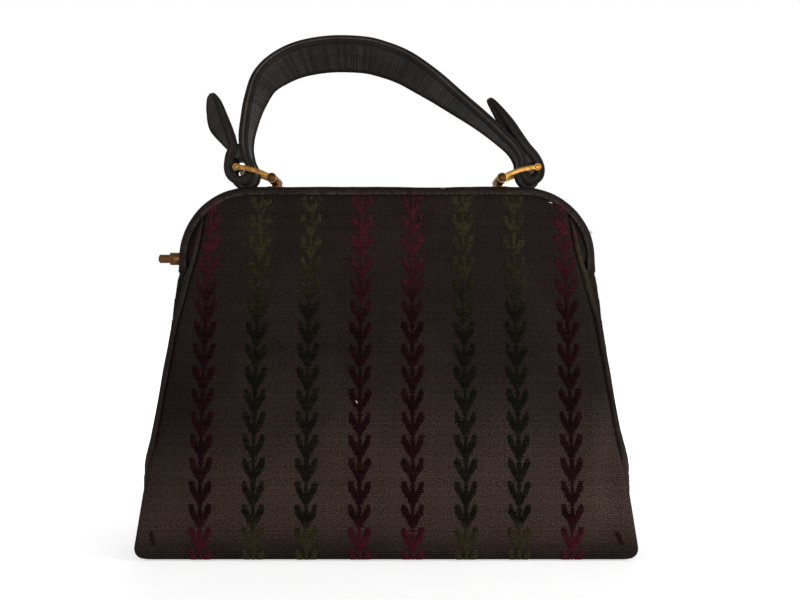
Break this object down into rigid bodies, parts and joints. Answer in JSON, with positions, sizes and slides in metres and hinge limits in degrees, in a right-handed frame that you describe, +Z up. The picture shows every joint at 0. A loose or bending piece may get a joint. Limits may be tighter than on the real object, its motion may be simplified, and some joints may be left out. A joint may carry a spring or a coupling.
{
  "type": "handbag",
  "caption": "Trapezoid cloth handbag with a hinged covered frame, side push-button lock, leaf-striped panels and a looped strap handle on swinging brass shackles.",
  "frame": {"origin": "under the middle of the base, on the surface the bag stands on", "axes": "+Z up, +X to the viewer's right, -Y to the front"},
  "size_m": [0.2946, 0.088, 0.3173],
  "materials": {
    "ground_cloth": "fine ribbed brown weave",
    "gusset_cloth": "fine ribbed brown weave",
    "red_pile": "cut pile",
    "green_pile": "cut pile",
    "cover_cloth": "ribbed cloth",
    "strap_cloth": "ribbed cloth over a stiff core",
    "lining_cloth": "smooth cloth",
    "board": "pressed fibre board",
    "steel": "plain",
    "brass": "worn polish",
    "bronzed_brass": "dull brown patina"
  },
  "bodies": {
    "bag_body": {"front_panel": "ground_cloth", "rear_panel": "ground_cloth", "left_gusset": "gusset_cloth", "right_gusset": "gusset_cloth", "bottom_panel": "ground_cloth", "bottom_board": "board", "lining": "lining_cloth", "front_left_piping": "gusset_cloth", "front_right_piping": "gusset_cloth", "rear_left_piping": "gusset_cloth", "rear_right_piping": "gusset_cloth", "front_leaves_red": "red_pile", "front_leaves_green": "green_pile", "rear_leaves_red": "red_pile", "rear_leaves_green": "green_pile"},
    "front_half": {"front_frame": "steel", "front_frame_cover": "cover_cloth", "front_panel_top": "ground_cloth", "front_lining_top": "lining_cloth", "front_left_wing": "gusset_cloth", "front_right_wing": "gusset_cloth", "front_top_leaves_red": "red_pile", "front_top_leaves_green": "green_pile"},
    "rear_half": {"rear_frame": "steel", "rear_frame_cover": "cover_cloth", "rear_panel_top": "ground_cloth", "rear_lining_top": "lining_cloth", "rear_left_wing": "gusset_cloth", "rear_right_wing": "gusset_cloth", "rear_top_leaves_red": "red_pile", "rear_top_leaves_green": "green_pile", "left_lug": "brass", "right_lug": "brass", "left_lug_pin": "brass", "right_lug_pin": "brass", "lock_bush": "bronzed_brass", "hinge_rivet": "steel", "lock_spring": "steel"},
    "button": {"lock_button": "bronzed_brass", "lock_clip": "steel"},
    "left_shackle": {"left_front_link": "brass", "left_rear_link": "brass", "left_strap_bar": "brass"},
    "right_shackle": {"right_front_link": "brass", "right_rear_link": "brass", "right_strap_bar": "brass"},
    "handle": {"handle_strap": "strap_cloth"}
  },
  "joints": [
    {"name": "front_open", "type": "hinge", "parent": "bag_body", "child": "front_half", "pos_m": [0, 0, 0.177], "axis": [1, 0, 0], "range_deg": [0, 38]},
    {"name": "rear_open", "type": "hinge", "parent": "bag_body", "child": "rear_half", "pos_m": [0, 0, 0.177], "axis": [-1, 0, 0], "range_deg": [0, 38]},
    {"name": "lock_press", "type": "slide", "parent": "rear_half", "child": "button", "axis": [1, 0, 0], "range_m": [0, 0.003], "stiffness_N_per_m": 900, "deforming": ["lock_spring"]},
    {"name": "handle_lift", "type": "slide", "parent": "rear_half", "child": "handle", "axis": [0, 0, 1], "range_m": [0, 0.0132]},
    {"name": "left_swing", "type": "hinge", "parent": "rear_half", "child": "left_shackle", "pos_m": [-0.07, 0, 0.2257], "axis": [0, 1, 0], "range_deg": [0, 25]},
    {"name": "right_swing", "type": "hinge", "parent": "rear_half", "child": "right_shackle", "pos_m": [0.07, 0, 0.2257], "axis": [0, -1, 0], "range_deg": [0, 25]}
  ],
  "couplings": [
    {"joint": "left_swing", "follows": "handle_lift", "rad_per_m": 33.022},
    {"joint": "right_swing", "follows": "handle_lift", "rad_per_m": 33.022}
  ]
}
